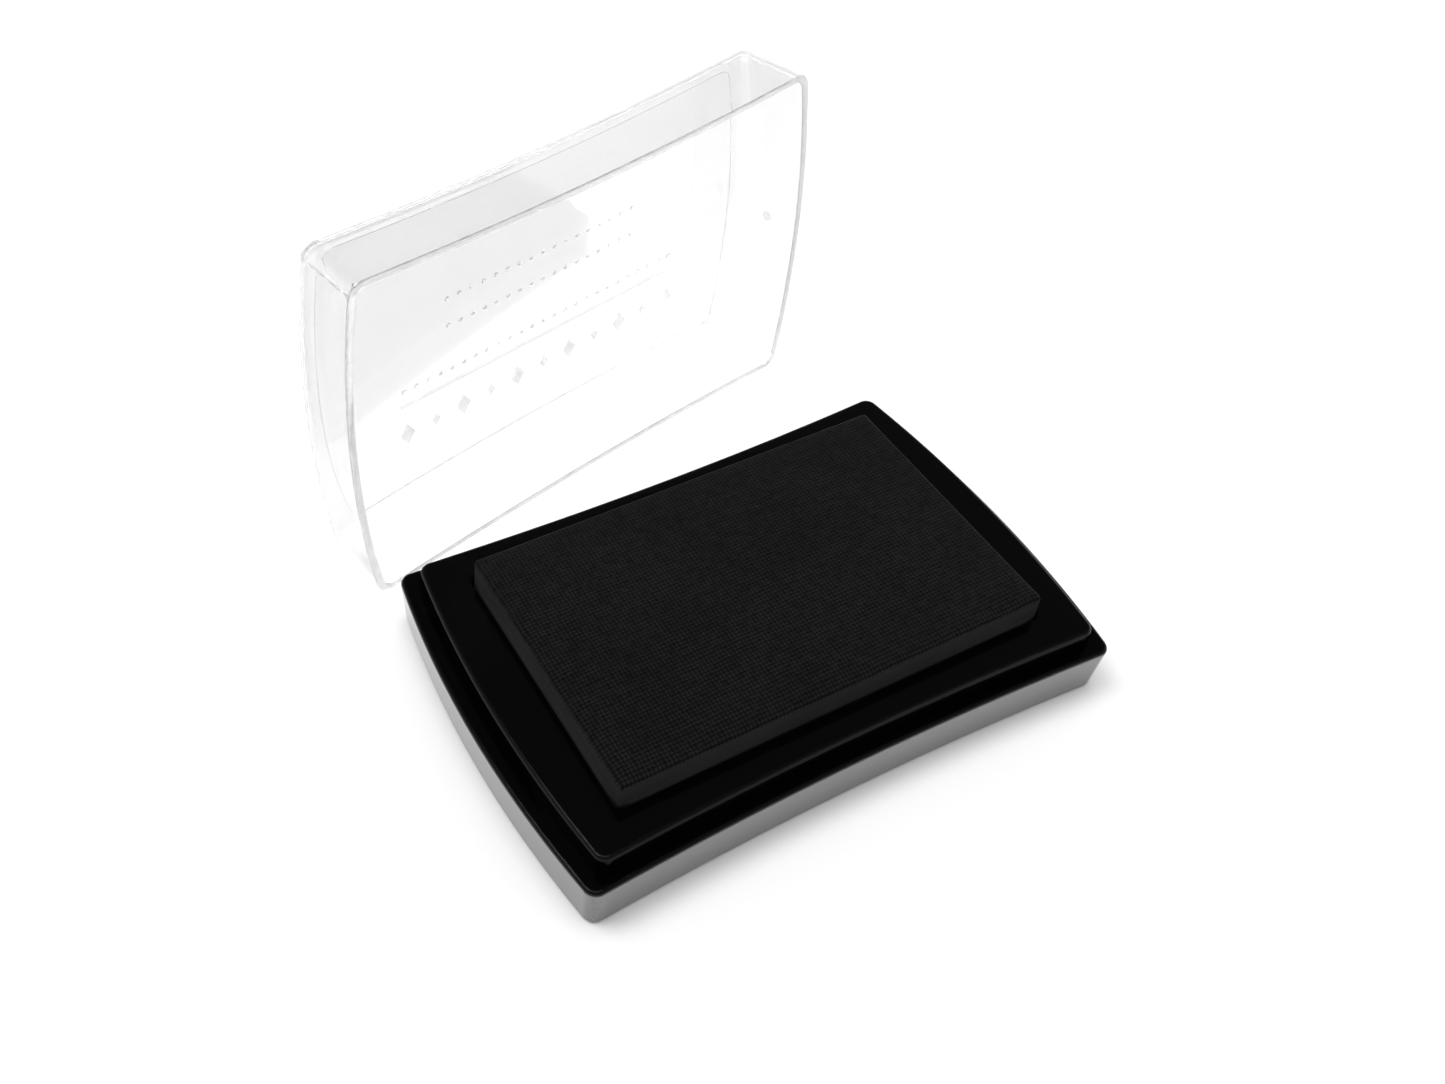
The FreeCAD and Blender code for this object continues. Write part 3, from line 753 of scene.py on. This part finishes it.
class INKPAD_OT_studio(Operator):
    """Set up the white floor, the soft lights and the camera"""

    bl_idname = "inkpad.studio"
    bl_label = "Studio"

    def execute(self, context):
        scene = context.scene
        bm = bmesh.new()
        bmesh.ops.create_grid(bm, x_segments=8, y_segments=8, size=6.0)
        card = bpy.data.meshes.new("floor")
        bm.to_mesh(card)
        bm.free()
        card.materials.append(white_floor())
        floor = bpy.data.objects.new("floor", card)
        scene.collection.objects.link(floor)

        self.sky(scene)
        # A broad key from the back left and a soft top light.
        self.light(scene, "key", azimuth=-58, elevation=64, strength=1.05, spread=26)
        self.light(scene, "top", azimuth=0, elevation=88, strength=0.87, spread=36)
        self.camera(scene)
        scene.view_settings.view_transform = "Standard"
        scene.view_settings.look = "None"
        return {"FINISHED"}

    @staticmethod
    def sky(scene):
        """A white band round the horizon that darkens upwards, as a studio's far walls do."""
        world = bpy.data.worlds.new("studio")
        world.use_nodes = True
        tree = world.node_tree
        tree.nodes.clear()
        place = add_node(tree, "ShaderNodeTexCoord")
        way = add_node(tree, "ShaderNodeSeparateXYZ", {"Vector": place.outputs["Generated"]})
        height = add_node(tree, "ShaderNodeMapRange", {
            "Value": way.outputs["Z"], "From Min": 0.3, "From Max": 0.5,
            "To Min": 1.5, "To Max": 0.5}, interpolation_type="SMOOTHSTEP")
        glow = add_node(tree, "ShaderNodeBackground", {
            "Color": (1.0, 1.0, 1.0, 1.0), "Strength": height.outputs["Result"]})
        add_node(tree, "ShaderNodeOutputWorld", {"Surface": glow.outputs["Background"]})
        scene.world = world

    @staticmethod
    def light(scene, name, azimuth, elevation, strength, spread):
        """A far soft light. Azimuth 0 is from the back and 90 from the right."""
        lamp = bpy.data.lights.new(name, "SUN")
        lamp.energy = strength
        lamp.angle = math.radians(spread)
        holder = bpy.data.objects.new(name, lamp)
        turn = math.radians(azimuth)
        up = math.radians(elevation)
        source = Vector((math.sin(turn) * math.cos(up), math.cos(turn) * math.cos(up),
                         math.sin(up)))
        holder.location = source
        holder.rotation_euler = source.to_track_quat("Z", "Y").to_euler()
        scene.collection.objects.link(holder)

    @staticmethod
    def camera(scene):
        """A view from the front left and above, a little tilted, with a small lens shift."""
        azimuth, elevation, roll = (math.radians(a) for a in (-30.32, 43.16, 2.77))
        away, side, rise = 0.26491, -0.03031, 0.04115
        back = Vector((math.sin(azimuth) * math.cos(elevation),
                       -math.cos(azimuth) * math.cos(elevation), math.sin(elevation)))
        level = Vector((math.cos(azimuth), math.sin(azimuth), 0))
        right = Matrix.Rotation(roll, 3, back) @ level
        above = back.cross(right)
        data = bpy.data.cameras.new("camera")
        data.sensor_width = 36.0
        data.lens = 39.125
        data.shift_x, data.shift_y = 0.109, -0.0957
        data.clip_start, data.clip_end = 0.01, 50.0
        camera = bpy.data.objects.new("camera", data)
        turn = Matrix((right, above, back)).transposed()
        camera.matrix_world = (Matrix.Translation(back * away + right * side + above * rise)
                               @ turn.to_4x4())
        scene.collection.objects.link(camera)
        scene.camera = camera


class INKPAD_PT_panel(Panel):
    """The ink pad's sizes, colours and building steps"""

    bl_label = "Ink pad"
    bl_idname = "INKPAD_PT_panel"
    bl_space_type = "VIEW_3D"
    bl_region_type = "UI"
    bl_category = "Ink pad"

    def draw(self, context):
        settings = context.scene.ink_pad
        for name in ("thread", "swell", "hem", "cloth_thick", "gloss", "ink", "case", "clear",
                     "ornaments"):
            self.layout.prop(settings, name)
        for step in OPERATORS:
            self.layout.operator(step.bl_idname)


OPERATORS = (INKPAD_OT_case, INKPAD_OT_label, INKPAD_OT_pad, INKPAD_OT_lid, INKPAD_OT_studio)
CLASSES = (InkPadSettings, *OPERATORS, INKPAD_PT_panel)


def register():
    for item in CLASSES:
        bpy.utils.register_class(item)
    bpy.types.Scene.ink_pad = PointerProperty(type=InkPadSettings)


def unregister():
    del bpy.types.Scene.ink_pad
    for item in reversed(CLASSES):
        bpy.utils.unregister_class(item)


def main():
    register()
    bpy.ops.inkpad.case()
    bpy.ops.inkpad.label()
    bpy.ops.inkpad.pad()
    bpy.ops.inkpad.lid()
    bpy.ops.inkpad.studio()


if __name__ == "__main__":
    main()
